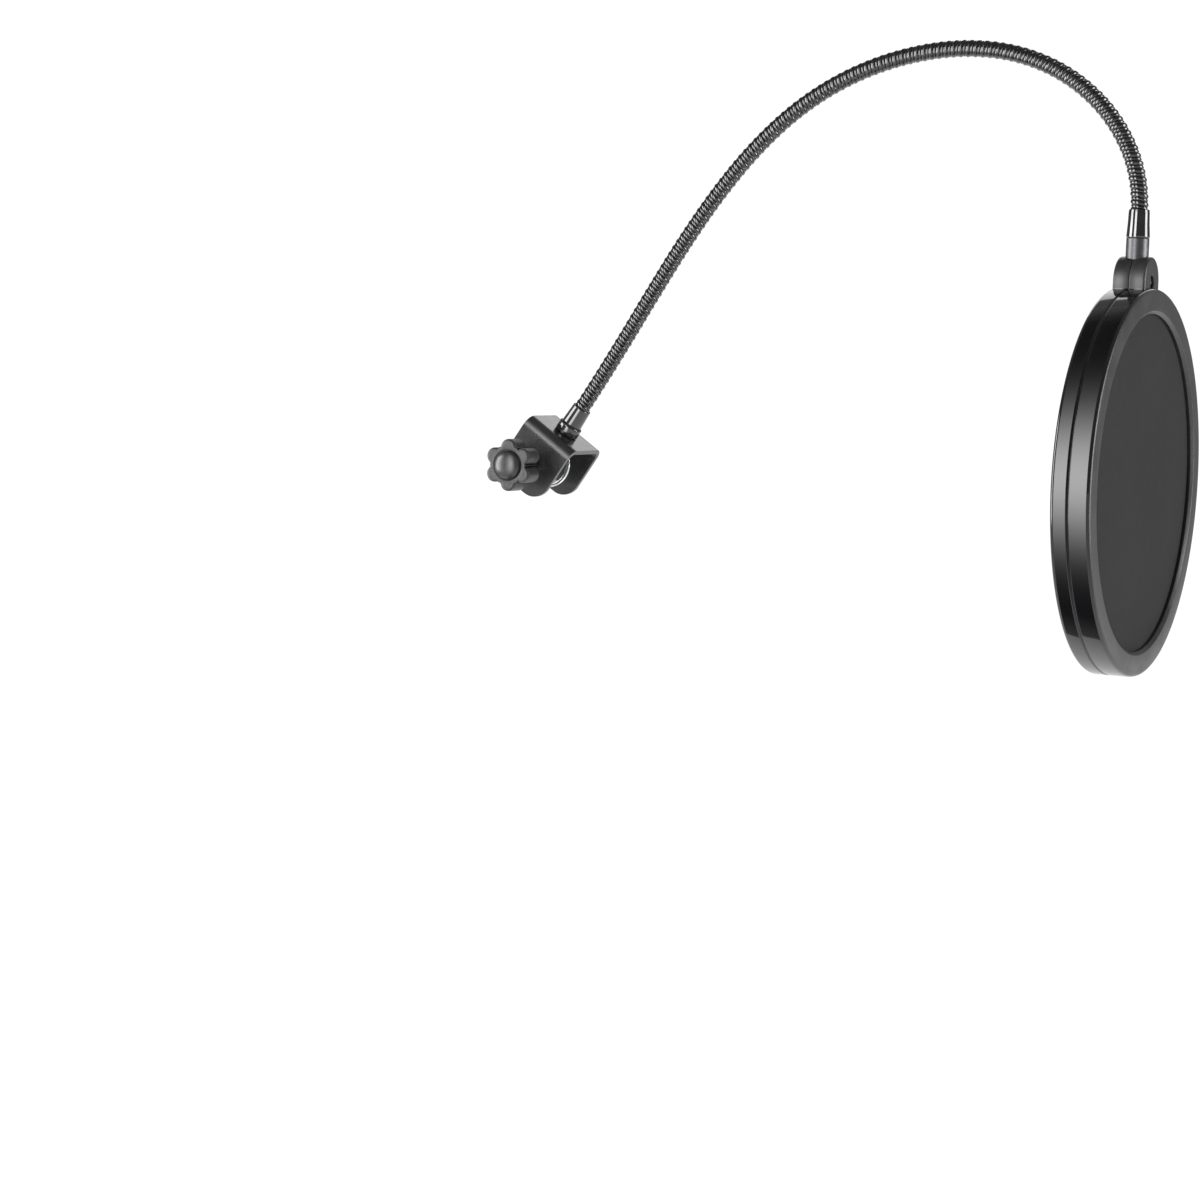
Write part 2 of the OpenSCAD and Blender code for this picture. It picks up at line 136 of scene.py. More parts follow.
class Wire:
    def __init__(self, tree, socket=None):
        self.tree = tree
        self.socket = socket

    def node(self, kind, inputs=None, out=0, **settings):
        """Adds a node: its settings first, then the values or wires of its sockets."""
        made = self.tree.nodes.new(kind)
        for name, value in settings.items():
            setattr(made, name, value)
        for key, value in (inputs or {}).items():
            if isinstance(value, Wire):
                self.tree.links.new(value.socket, made.inputs[key])
            else:
                made.inputs[key].default_value = value
        return Wire(self.tree, made.outputs[out])

    def output(self, name):
        """Another output of the node that this wire comes from."""
        return Wire(self.tree, self.socket.node.outputs[name])

    def math(self, operation, *values):
        return self.node("ShaderNodeMath", dict(enumerate(values)), operation=operation)

    def __add__(self, other): return self.math("ADD", self, other)
    def __radd__(self, other): return self.math("ADD", other, self)
    def __sub__(self, other): return self.math("SUBTRACT", self, other)
    def __rsub__(self, other): return self.math("SUBTRACT", other, self)
    def __mul__(self, other): return self.math("MULTIPLY", self, other)
    def __rmul__(self, other): return self.math("MULTIPLY", other, self)
    def __truediv__(self, other): return self.math("DIVIDE", self, other)
    def __rtruediv__(self, other): return self.math("DIVIDE", other, self)

    def step(self, low, high):
        """0 below low, 1 above high, smooth between."""
        return self.node("ShaderNodeMapRange", {"Value": self, "From Min": low, "From Max": high},
                         interpolation_type="SMOOTHSTEP")

    def between(self, low, high):
        """low where this is 0, high where it is 1."""
        return self * (high - low) + low


def tint(wire, share, dark, light):
    """A colour between two, by a share from 0 to 1."""
    return wire.node("ShaderNodeMix", {0: share, 6: (*dark, 1), 7: (*light, 1)}, out=2,
                     data_type="RGBA")


def finish(name, fixed, recipe):
    """A material: fixed values go on the shader, and recipe gives what varies over the surface."""
    material = bpy.data.materials.new(name)
    material.use_nodes = True
    tree = material.node_tree
    shader = tree.nodes["Principled BSDF"]
    for key, value in fixed.items():
        shader.inputs[key].default_value = value
    for key, wire in recipe(Wire(tree)).items():
        tree.links.new(wire.socket, shader.inputs[key])
    return material


def place(start):
    """The piece's own coordinates, in metres."""
    return start.node("ShaderNodeTexCoord", out="Object")


def grain(start, scale, detail=3.0, roughness=0.5):
    """Fine random specks, this many to the metre."""
    return start.node("ShaderNodeTexNoise", {"Vector": place(start), "Scale": scale,
                                             "Detail": detail, "Roughness": roughness})


def bump(start, height, depth, strength=1.0):
    return start.node("ShaderNodeBump", {"Height": height, "Distance": depth, "Strength": strength})


# %% [markdown]
# ## Finishes
# The real thing is nearly all black, so the finishes must differ in gloss, not in colour: satin paint
# on the bracket, moulded plastic on the knob and the frame, lacquer on the foot of the arm, black
# nickel on the winding, black chrome on the upper ferrule, satin steel on the sleeve, bright zinc on
# the clamp's screw and pad, and dull cloth. Each has its own fine surface, at the scale that the real
# one shows.

# %% Paint, plastic and metal


def satin_paint(s):
    peel = grain(s, 900, 2.0)
    cloud = grain(s, 90, 4.0, 0.6)
    share = cloud.step(0.35, 0.7)
    return {"Base Color": tint(s, share, (0.010, 0.010, 0.011), (0.016, 0.016, 0.017)),
            "Roughness": cloud.step(0.3, 0.7).between(0.24, 0.28),
            "Normal": bump(s, peel, 0.00001, 0.2)}


def knob_plastic(s):
    pits = grain(s, 2600, 2.0)
    rub = grain(s, 140, 3.0)
    return {"Base Color": tint(s, rub.step(0.35, 0.7), (0.020, 0.020, 0.021), (0.030, 0.030, 0.031)),
            "Roughness": rub.step(0.3, 0.7).between(0.36, 0.5),
            "Normal": bump(s, pits, 0.00004, 0.5)}


def plug_plastic(s):
    rub = grain(s, 200, 3.0)
    return {"Base Color": tint(s, rub.step(0.35, 0.7), (0.008, 0.008, 0.009), (0.013, 0.013, 0.014)),
            "Roughness": rub.step(0.3, 0.7).between(0.28, 0.38),
            "Normal": bump(s, grain(s, 1500, 2.0), 0.00002, 0.3)}


def black_lacquer(s):
    cloud = grain(s, 160, 3.0)
    return {"Base Color": tint(s, cloud.step(0.3, 0.7), (0.008, 0.008, 0.009), (0.013, 0.013, 0.014)),
            "Roughness": cloud.step(0.3, 0.7).between(0.06, 0.13),
            "Normal": bump(s, grain(s, 500, 1.0), 0.00001, 0.2)}


def black_chrome(s):
    cloud = grain(s, 160, 3.0)
    return {"Base Color": tint(s, cloud.step(0.3, 0.7), (0.085, 0.085, 0.087), (0.115, 0.115, 0.118)),
            "Roughness": cloud.step(0.3, 0.7).between(0.05, 0.11),
            "Normal": bump(s, grain(s, 500, 1.0), 0.00001, 0.15)}


def black_nickel(s):
    cloud = grain(s, 420, 3.0)
    return {"Base Color": tint(s, cloud.step(0.3, 0.7), (0.045, 0.045, 0.047), (0.072, 0.072, 0.075)),
            "Roughness": cloud.step(0.3, 0.7).between(0.08, 0.16)}


def bright_zinc(s):
    cloud = grain(s, 350, 4.0)
    lines = s.node("ShaderNodeTexNoise", {"Vector": s.node("ShaderNodeMapping", {
        "Vector": place(s), "Scale": (1, 30, 1)}), "Scale": 260.0, "Detail": 3.0})
    return {"Base Color": tint(s, cloud.step(0.3, 0.75), (0.56, 0.57, 0.58), (0.74, 0.74, 0.73)),
            "Roughness": (cloud * 0.5 + lines * 0.5).step(0.3, 0.7).between(0.12, 0.18)}


def satin_steel(s):
    cloud = grain(s, 300, 3.0)
    turned = s.node("ShaderNodeTexNoise", {"Vector": s.node("ShaderNodeMapping", {
        "Vector": place(s), "Scale": (1, 1, 40)}), "Scale": 300.0, "Detail": 2.0})
    return {"Base Color": tint(s, cloud.step(0.3, 0.7), (0.075, 0.075, 0.078), (0.095, 0.095, 0.098)),
            "Roughness": turned.step(0.3, 0.7).between(0.38, 0.44),
            "Normal": bump(s, turned, 0.000003, 0.2)}


coats = {
    "paint": finish("satin_black_paint", {"Coat Weight": 0.25, "Coat Roughness": 0.2}, satin_paint),
    "knob": finish("moulded_knob_plastic", {}, knob_plastic),
    "cap": finish("knob_plug_plastic", {"Coat Weight": 0.2, "Coat Roughness": 0.25}, plug_plastic),
    "lacquer": finish("black_lacquer", {"Coat Weight": 0.6, "Coat Roughness": 0.04}, black_lacquer),
    "chrome": finish("black_chrome", {"Metallic": 1.0}, black_chrome),
    "nickel": finish("black_nickel_wire", {"Metallic": 1.0, "Coat Weight": 0.5,
                                           "Coat Roughness": 0.08}, black_nickel),
    "zinc": finish("bright_zinc", {"Metallic": 1.0}, bright_zinc),
    "sleeve": finish("satin_steel_sleeve", {"Metallic": 1.0}, satin_steel),
}
print("finishes:", ", ".join(m.name for m in coats.values()))

# %% [markdown]
# The round frame is one moulding with two surfaces: its side wall is polished, and its front, back
# and neck are finely textured. A mask on the distance from the frame's axis tells them apart.

# %% Frame plastic
RING_R = 77.5
ring_r = RING_R * MM
ring_centre = Vector(((ring_high.x + rear_low.x) / 2, swivel.y, ring_low.z + ring_r))


def frame_plastic(s):
    offset = s.node("ShaderNodeVectorMath", {0: place(s), 1: tuple(ring_centre)},
                    operation="SUBTRACT")
    flat = s.node("ShaderNodeVectorMath", {0: offset, 1: (0, 1, 1)}, operation="MULTIPLY")
    radius = s.node("ShaderNodeVectorMath", {0: flat}, out="Value", operation="LENGTH")
    wall = radius.step(ring_r - 0.7 * MM, ring_r - 0.25 * MM)
    outside = radius.step(ring_r + 0.05 * MM, ring_r + 0.3 * MM)
    gloss = wall * (1 - outside)
    texture = grain(s, 1800, 2.0)
    cloud = grain(s, 80, 4.0, 0.6)
    shade = tint(s, cloud.step(0.35, 0.7), (0.013, 0.013, 0.014), (0.020, 0.020, 0.021))
    base = s.node("ShaderNodeMix", {0: gloss, 6: shade, 7: (0.003, 0.003, 0.0035, 1)}, out=2,
                  data_type="RGBA")
    satin = cloud.step(0.3, 0.7).between(0.3, 0.4)
    return {"Base Color": base,
            "Roughness": satin * (1 - gloss) + 0.07 * gloss,
            "Normal": bump(s, texture * (1 - gloss), 0.00003, 0.4)}


coats["frame"] = finish("frame_plastic", {}, frame_plastic)
print("frame centre, mm:", [round(c / MM, 2) for c in ring_centre])

# %% [markdown]
# ## Round pieces
# Most small pieces are turned, so one helper makes them all. It takes the outline on one side of the
# axis, rounds each corner by its own radius as a real edge is rounded, and spins the result.

# %% Rounding an outline


def rounded(points, steps=5, closed=True):
    """Corner points (a, b, radius) as a finer outline with round corners."""
    made = []
    count = len(points)
    for i, (a, b, radius) in enumerate(points):
        here = Vector((a, b))
        if radius <= 0 or (not closed and i in (0, count - 1)):
            made.append(here)
            continue
        before = Vector(points[i - 1][:2]) - here
        after = Vector(points[(i + 1) % count][:2]) - here
        half = before.angle(after) / 2
        reach = min(radius / math.tan(half), 0.49 * before.length, 0.49 * after.length)
        radius = reach * math.tan(half)
        bisector = (before.normalized() + after.normalized()).normalized()
        middle = here + bisector * radius / math.sin(half)
        start = here + before.normalized() * reach - middle
        turn = start.angle_signed(here + after.normalized() * reach - middle)
        for k in range(steps + 1):
            spoke = start.copy()
            spoke.rotate(Matrix.Rotation(-turn * k / steps, 2))
            made.append(middle + spoke)
    return made


def solid_from(name, verts, faces, coat, sharp=35):
    """A finished object from points in metres, with its faces outwards."""
    mesh = bpy.data.meshes.new(name)
    mesh.from_pydata([tuple(v) for v in verts], [], faces)
    work = bmesh.new()
    work.from_mesh(mesh)
    bmesh.ops.remove_doubles(work, verts=work.verts, dist=1e-7)
    bmesh.ops.recalc_face_normals(work, faces=work.faces)
    work.to_mesh(mesh)
    work.free()
    mesh.shade_smooth()
    mesh.set_sharp_from_angle(angle=math.radians(sharp))
    made = bpy.data.objects.new(name, mesh)
    bpy.context.scene.collection.objects.link(made)
    mesh.materials.append(coats[coat])
    return made


def turned(name, outline, where, coat, around=96, sharp=35):
    """Spins an outline of (radius, height) in mm. Points with no radius become poles."""
    verts, rings, faces = [], [], []
    for radius, height in outline:
        if radius < 1e-6:
            rings.append([len(verts)])
            verts.append(where @ Vector((0, 0, height * MM)))
            continue
        rings.append(list(range(len(verts), len(verts) + around)))
        for i in range(around):
            turn = 2 * math.pi * i / around
            verts.append(where @ Vector((radius * MM * math.cos(turn),
                                         radius * MM * math.sin(turn), height * MM)))
    poles = len(rings[0]) == 1
    for k in range(len(rings) - (1 if poles else 0)):
        low, high = rings[k], rings[(k + 1) % len(rings)]
        for i in range(around):
            j = (i + 1) % around
            corners = [low[i % len(low)], low[j % len(low)], high[j % len(high)], high[i % len(high)]]
            faces.append(list(dict.fromkeys(corners)))
    return solid_from(name, verts, faces, coat, sharp)


def loft(name, loops, coat, sharp=35):
    """Joins closed loops of equal length in order, and closes both ends to their middles."""
    verts, faces = [], []
    count = len(loops[0])
    for loop in loops:
        verts += loop
    for k in range(len(loops) - 1):
        for i in range(count):
            j = (i + 1) % count
            faces.append([k * count + i, k * count + j, (k + 1) * count + j, (k + 1) * count + i])
    for first, loop in ((0, loops[0]), ((len(loops) - 1) * count, loops[-1])):
        verts.append(sum(loop, Vector()) / count)
        for i in range(count):
            faces.append([first + i, first + (i + 1) % count, len(verts) - 1])
    return solid_from(name, verts, faces, coat, sharp)


# %% [markdown]
# ## The clamp's bracket
# One strip of steel is bent twice into a U. Its cut edges are slightly rounded by tumbling before
# painting, and that thin round edge is what catches the light. The strip is made flat as a grid that
# follows the bent line, given its thickness, and bevelled.

# %% Bent strip
JAW_DEPTH, STRIP, BEND_R, CORNER_R, HALF_W = 26.0, 2.0, 5.0, 8.0, 13.0
WEB_TOP, LEG_END = 16.5, -12.0


def strip_line():
    """The strip's outer line from the foot of the front leg, over the web, to the back leg's foot."""
    y0, y1 = -JAW_DEPTH - STRIP, STRIP
    drop = WEB_TOP - BEND_R - LEG_END
    line = []
    leg = [1 - math.cos(math.radians(a)) for a in range(0, 91, 5)]
    heights = [LEG_END + CORNER_R * c for c in leg] + [LEG_END + CORNER_R + (drop - CORNER_R) * k / 8
                                                       for k in range(1, 9)]
    line += [(y0, z, -1.0, 0.0) for z in heights]
    for k in range(1, 13):
        a = math.radians(180 - 7.5 * k)
        line.append((y0 + BEND_R + BEND_R * math.cos(a), WEB_TOP - BEND_R + BEND_R * math.sin(a),
                     math.cos(a), math.sin(a)))
    for k in range(1, 10):
        line.append((y0 + BEND_R + (y1 - y0 - 2 * BEND_R) * k / 10, WEB_TOP, 0.0, 1.0))
    for k in range(0, 12):
        a = math.radians(90 - 7.5 * k)
        line.append((y1 - BEND_R + BEND_R * math.cos(a), WEB_TOP - BEND_R + BEND_R * math.sin(a),
                     math.cos(a), math.sin(a)))
    line += [(y1, z, 1.0, 0.0) for z in reversed(heights)]
    return line


def half_width(z):
    """Half the strip's width at a height, less near the rounded corners of each leg."""
    below = LEG_END + CORNER_R - z
    if below <= 0:
        return HALF_W
    return HALF_W - CORNER_R + math.sqrt(max(0.0, CORNER_R ** 2 - below ** 2))


ACROSS = 13
clamp_turn = placing(Vector((0, 0, 0)), tube_along, web_normal)
verts, faces = [], []
line = strip_line()
for side in (0.0, STRIP):
    for y, z, ny, nz in line:
        for i in range(ACROSS):
            t = half_width(z) * (2 * i / (ACROSS - 1) - 1)
            verts.append(clamp_turn @ (Vector((t, y - ny * side, z - nz * side)) * MM))
rows = len(line)
for k in range(rows - 1):
    for i in range(ACROSS - 1):
        a = k * ACROSS + i
        faces.append([a, a + 1, a + ACROSS + 1, a + ACROSS])
        b = rows * ACROSS + a
        faces.append([b, b + ACROSS, b + ACROSS + 1, b + 1])
rim = ([k * ACROSS for k in range(rows)] + [(rows - 1) * ACROSS + i for i in range(1, ACROSS)]
       + [k * ACROSS + ACROSS - 1 for k in range(rows - 2, -1, -1)]
       + list(range(ACROSS - 2, 0, -1)))
for i, a in enumerate(rim):
    b = rim[(i + 1) % len(rim)]
    faces.append([a, b, b + rows * ACROSS, a + rows * ACROSS])
bracket = solid_from("bracket_strip", verts, faces, "paint", sharp=50)
soften = bracket.modifiers.new("edge", "BEVEL")
soften.width = 0.35 * MM
soften.segments = 3
soften.limit_method = "ANGLE"
soften.angle_limit = math.radians(50)
collar_outline = rounded([(3.05, -0.01, 0), (5.4, -0.01, 0.3), (5.0, 2.0, 0.5), (3.05, 2.0, 0.3)])
leg_frame = placing(clamp_turn @ Vector((0, -JAW_DEPTH * MM, 0)), tube_along, Vector((0, 1, 0)))
thread_collar = turned("thread_collar", collar_outline, leg_frame, "paint")
print("bracket strip:", len(bracket.data.vertices), "points")

# %% [markdown]
# ## The clamp screw
# An M6 screw has a ridge that climbs one millimetre a turn. Geometry Nodes push the skin of a plain
# cylinder in and out by where each point stands along and around the screw, so the thread's pitch
# and depth stay sizes that can be changed.

# %% A node tree with named sizes


def new_tree(name, sizes):
    """A geometry tree with these sockets, and its input wires by name."""
    tree = bpy.data.node_groups.new(name, "GeometryNodeTree")
    tree.interface.new_socket("Geometry", in_out="OUTPUT", socket_type="NodeSocketGeometry")
    tree.interface.new_socket("Geometry", in_out="INPUT", socket_type="NodeSocketGeometry")
    for size, kind in sizes.items():
        tree.interface.new_socket(size, in_out="INPUT", socket_type="NodeSocket" + kind)
    source = tree.nodes.new("NodeGroupInput")
    return tree, {s.name: Wire(tree, s) for s in source.outputs if s.name}


def end_tree(tree, wire, material):
    """Real geometry with its material, out of the tree."""
    real = wire.node("GeometryNodeRealizeInstances", {"Geometry": wire})
    coated = real.node("GeometryNodeSetMaterial", {"Geometry": real, "Material": material})
    target = tree.nodes.new("NodeGroupOutput")
    tree.links.new(coated.socket, target.inputs[0])


def grown(name, tree, values, source=None):
    """Runs a tree once and keeps its result as a plain mesh object."""
    host_data = source if source else bpy.data.meshes.new(name + "_host")
    host = bpy.data.objects.new(name + "_host", host_data)
    bpy.context.scene.collection.objects.link(host)
    modifier = host.modifiers.new("make", "NODES")
    modifier.node_group = tree
    keys = {i.name: i.identifier for i in tree.interface.items_tree if i.in_out == "INPUT"}
    for size, value in values.items():
        modifier[keys[size]] = value
    ready = host.evaluated_get(bpy.context.evaluated_depsgraph_get())
    mesh = bpy.data.meshes.new_from_object(ready)
    mesh.name = name
    bpy.data.objects.remove(host)
    made = bpy.data.objects.new(name, mesh)
    bpy.context.scene.collection.objects.link(made)
    return made


tree, size = new_tree("screw_thread", {"Radius": "Float", "Length": "Float", "Pitch": "Float",
                                       "Depth": "Float", "Rows": "Int", "Finish": "Material"})
start = Wire(tree)
rod = start.node("GeometryNodeMeshCylinder", {
    "Vertices": 40, "Side Segments": size["Rows"], "Radius": 1.0, "Depth": size["Length"]})
spot = start.node("GeometryNodeInputPosition")
parts = start.node("ShaderNodeSeparateXYZ", {0: spot})
across, up, along = parts.output("X"), parts.output("Y"), parts.output("Z")
turn = start.math("ARCTAN2", up, across) / (2 * math.pi)
phase = start.math("FRACT", along / size["Pitch"] - turn)
ridge = start.math("ABSOLUTE", phase * 2 - 1)
ridge = ridge.step(0.08, 0.9)
thick = size["Radius"] - size["Depth"] * (1 - ridge)
flat_spot = start.node("ShaderNodeCombineXYZ", {"X": across * thick, "Y": up * thick, "Z": along})
cut = start.node("GeometryNodeSetPosition", {"Geometry": rod, "Position": flat_spot})
smooth = start.node("GeometryNodeSetShadeSmooth", {"Geometry": cut})
end_tree(tree, smooth, size["Finish"])
SCREW_R, THREAD_PITCH, THREAD_DEPTH = 3.0 * MM, 1.0 * MM, 0.5 * MM
THREAD_FOOT, THREAD_LENGTH, ROWS_A_MM = 4.3, 28.6, 10
screw_thread = grown("screw_thread", tree, {
    "Radius": SCREW_R, "Length": THREAD_LENGTH * MM, "Pitch": THREAD_PITCH, "Depth": THREAD_DEPTH,
    "Rows": round(THREAD_LENGTH * ROWS_A_MM), "Finish": coats["zinc"]})
screw_thread.data.transform(
    screw_frame @ Matrix.Translation((0, 0, (THREAD_FOOT + THREAD_LENGTH / 2) * MM)))
print("thread:", len(screw_thread.data.polygons), "faces")

# %% [markdown]
# The screw ends in a slimmer pin that is riveted over inside the pad, so the pad stays still while
# the screw turns. Its head is a hexagon, sunk in the knob.

# %% Screw ends
pin = turned("screw_pin", rounded([(0, 0.3, 0), (2.7, 0.3, 0.25), (2.95, 1.05, 0.1), (1.9, 1.1, 0),
                                   (1.9, 4.05, 0), (2.5, 4.06, 0), (2.9, 4.5, 0), (0, 4.6, 0)],
                                  closed=False), screw_frame, "zinc")


def prism(name, across, low, high, where, coat):
    """A hexagon with its corners turned off at both ends, as on a real nut or head."""
    loops = []
    corner = across / math.sqrt(3)
    for height, inset in ((low, 0.93), (low + 0.25, 1.0), (high - 0.25, 1.0), (high, 0.93)):
        loop = []
        for i in range(60):
            a = 2 * math.pi * (i + 0.5) / 60
            flat = (across / 2) / math.cos((a + math.pi / 6) % (math.pi / 3) - math.pi / 6)
            reach = min(flat, corner * inset)
            loop.append(where @ Vector((reach * math.cos(a) * MM, reach * math.sin(a) * MM,
                                        height * MM)))
        loops.append(loop)
    return loft(name, loops, coat, 25)


screw_head = prism("screw_head", 10, 33.5, 37.5, screw_frame, "zinc")

# %% [markdown]
# ## The pressure pad
# A pressed steel dish: its rim is rolled, its face towards the tube is flat, and a hub behind it
# holds the screw's riveted pin. The bright double line at its edge is the rim's roll.

# %% Pad
pad = turned("pressure_dish", rounded([
    (1.95, 1.15, 0), (3.3, 1.15, 0), (3.3, 0.0, 0.2), (10.1, 0.0, 0.25), (10.5, 0.55, 0.3),
    (10.3, 1.3, 0.4), (9.4, 1.3, 0.35), (8.9, 0.95, 0.5), (6.3, 1.5, 1.2), (5.0, 4.0, 0.7),
    (1.95, 4.0, 0.2)]), screw_frame, "zinc")

# %% [markdown]
# ## The knob
# Six round lobes with round hollows between them, moulded in one piece. The front edge has a broad
# soft round and the back edge a small one. The outline comes from the same circles as the solid, and
# each layer is that outline pulled in a little, so the rounding has the same width all the way round.

# %% Lobed knob
LOBES, LOBE_R, LOBE_AT, HOLLOW_R, LOBE_TO_HOLLOW = 6, 3.6, 7.6, 2.65, 6.2
KNOB_TURN, AROUND_KNOB = math.radians(5), 240
hollow_at = (LOBE_AT * math.cos(math.pi / LOBES)
             + math.sqrt(LOBE_TO_HOLLOW ** 2 - (LOBE_AT * math.sin(math.pi / LOBES)) ** 2))


def lobe_reach(angle, inset):
    """Distance from the knob's axis to its outline at an angle, with the outline pulled in."""
    halfway = math.pi / LOBES
    a = abs((angle + halfway) % (2 * halfway) - halfway)
    lobe, hollow = LOBE_R - inset, HOLLOW_R + inset
    side = LOBE_AT * math.sin(a)
    out = LOBE_AT * math.cos(a) + math.sqrt(max(lobe ** 2 - side ** 2, 0.0))
    if side > lobe:
        out = 1e9
    offset = hollow_at * math.sin(halfway - a)
    if hollow > abs(offset):
        out = min(out, hollow_at * math.cos(halfway - a) - math.sqrt(hollow ** 2 - offset ** 2))
    return out


def knob_loop(inset, height):
    loop = []
    for i in range(AROUND_KNOB):
        a = 2 * math.pi * i / AROUND_KNOB
        reach = lobe_reach(a - KNOB_TURN, inset)
        loop.append(screw_frame @ Vector((reach * math.cos(a) * MM, reach * math.sin(a) * MM,
                                          height * MM)))
    return loop


def round_loop(radius, height):
    return [screw_frame @ Vector((radius * math.cos(2 * math.pi * i / AROUND_KNOB) * MM,
                                  radius * math.sin(2 * math.pi * i / AROUND_KNOB) * MM,
                                  height * MM))
            for i in range(AROUND_KNOB)]


BACK, FACE, BACK_EDGE, FACE_EDGE, WELL_R, WELL_FLOOR = 29.0, 39.5, 0.5, 1.3, 6.25, 37.6
layers = [round_loop(3.05, 33.4), round_loop(3.05, BACK + 0.3), round_loop(3.3, BACK)]
for a in range(0, 91, 30):
    layers.append(knob_loop(BACK_EDGE - BACK_EDGE * math.sin(math.radians(a)),
                            BACK + BACK_EDGE - BACK_EDGE * math.cos(math.radians(a))))
for a in range(0, 91, 15):
    layers.append(knob_loop(FACE_EDGE - FACE_EDGE * math.cos(math.radians(a)),
                            FACE - FACE_EDGE + FACE_EDGE * math.sin(math.radians(a))))
layers += [round_loop(6.95, FACE), round_loop(6.75, FACE - 0.12), round_loop(6.45, FACE - 0.45),
           round_loop(WELL_R, FACE - 0.5), round_loop(WELL_R, WELL_FLOOR)]
knob = loft("lobed_knob", layers, "knob", 40)
CAP_R, CAP_FOOT, CAP_RISE = 6.1, 39.4, 2.6
dome = [(CAP_R * math.cos(math.radians(a)), CAP_FOOT + CAP_RISE * math.sin(math.radians(a)))
        for a in range(0, 90, 6)]
cap = turned("knob_plug", [(0, 37.55), (CAP_R, 37.55)] + dome + [(0, CAP_FOOT + CAP_RISE)],
             screw_frame, "cap")

# %% [markdown]
# ## The foot of the arm
# A screw through the web holds a turned collar, and a tapered ferrule covers the first turns of the
# winding. Both are lacquered, and the strip of light at their left shows them as round.

# %% Collar, ferrule and base screw
collar = turned("foot_collar", rounded([(2.53, 0, 0), (5.0, 0, 0.2), (5.3, 0.5, 0.4),
                                        (5.3, 4.3, 0.9), (4.6, 4.9, 0.3), (2.53, 4.9, 0)]),
                web_frame, "lacquer")
ferrule = turned("foot_ferrule", rounded([(2.6, 4.92, 0), (4.42, 4.92, 0.15), (4.5, 5.3, 0.2),
                                          (4.15, 13.4, 0.3), (3.85, 13.7, 0.15), (3.68, 13.7, 0),
                                          (3.68, 11.4, 0), (2.6, 11.4, 0)]), web_frame, "lacquer")
base_head = turned("base_screw_head", rounded([
    (0, -4.0, 0), (1.55, -4.0, 0), (1.7, -4.7, 0.1), (2.6, -4.7, 0.4), (4.2, -3.9, 0.9),
    (4.2, -2.62, 0.15), (2.5, -2.61, 0), (2.45, 7.5, 0.2), (0, 7.9, 0)], closed=False),
    web_frame, "zinc")

# %% [markdown]
# ## The stem
# The upper ferrule is chromed black, with a rounded shoulder at each end. Below it the satin steel
# sleeve goes down into the frame's neck, where a groove keeps it.

# %% Upper ferrule and sleeve
LINK_LENGTH = 25.0 * MM


def arm_line():
    """The arm's middle line: arcs of equal length through the joints, and the heading of each end."""
    headings, bends = [lean], []
    for k in range(LINKS):
        if k < LINKS - 1:
            step = arm_feet[k + 1] - arm_feet[k]
            chord = math.atan2(step.x, step.z)
            chord += 2 * math.pi if chord < 0 and headings[k] > 2 else 0
            bends.append(2 * (chord - headings[k]))
        else:
            bends.append(math.pi - headings[k])
        headings.append(headings[k] + bends[k])
    return headings, bends


headings, bends = arm_line()


def arm_point(s):
    """The point at a distance along the arm from its first joint, and the way it heads there."""
    if s < 0:
        h = headings[0]
        return arm_feet[0] + Vector((math.sin(h), 0, math.cos(h))) * s, h
    k = min(int(s / LINK_LENGTH), LINKS - 1)
    rest = s - k * LINK_LENGTH
    if k == LINKS - 1 and rest > LINK_LENGTH * 1.000001:
        h = headings[LINKS]
        start = arm_point(LINKS * LINK_LENGTH)[0]
        return start + Vector((math.sin(h), 0, math.cos(h))) * (rest - LINK_LENGTH), h
    h0 = headings[k]
    a = bends[k] * rest / LINK_LENGTH
    chord = rest if abs(a) < 1e-6 else 2 * rest / a * math.sin(a / 2)
    return arm_feet[k] + Vector((math.sin(h0 + a / 2), 0, math.cos(h0 + a / 2))) * chord, h0 + a


arm_end = arm_point(LINKS * LINK_LENGTH)[0]
stem_frame = placing(arm_end, FRONT, UP)
print("arm bends, degrees:", [round(math.degrees(b), 1) for b in bends])
print("arm end, mm:", [round(c / MM, 2) for c in arm_end])
top_ferrule = turned("stem_ferrule", rounded([
    (3.63, -5.0, 0), (3.63, -0.25, 0.1), (3.75, 0.0, 0.1), (4.0, 0.0, 0.3), (4.15, -1.0, 0.4),
    (4.3, -5.5, 4.0), (4.65, -10.6, 0.8), (4.5, -11.28, 0.3), (3.05, -11.28, 0),
    (3.05, -6.0, 0)]), stem_frame, "chrome")
sleeve = turned("stem_sleeve_turned", rounded([
    (0, -25.1, 0), (4.3, -25.1, 0.2), (4.55, -24.8, 0.1), (4.55, -23.1, 0), (3.85, -23.1, 0),
    (3.85, -21.7, 0), (4.55, -21.7, 0), (4.55, -11.6, 0.2), (4.4, -11.31, 0.1),
    (3.0, -11.31, 0), (3.0, -6.8, 0.2), (0, -6.8, 0)], closed=False), stem_frame, "sleeve")

# %% [markdown]
# ## The wound arm
# The arm is wound from two wires side by side: a thick round one, and a thin one that fills the
# groove. It is the same rule all the way, a helix round a curved line, so Geometry Nodes make it.
# The tree reads the middle line, and two numbers say which stretch to make: each stretch runs from
# the middle of one length to the middle of the next, so that it bends across the joint between.

# %% Winding tree
winding, size = new_tree("wound_arm", {
    "Pitch": "Float", "Winding Radius": "Float", "Wire Radius": "Float", "Filler Radius": "Float",
    "Filler Drop": "Float", "From": "Float", "To": "Float", "Steps": "Int", "Tip": "Float",
    "Finish": "Material"})
start = Wire(winding)


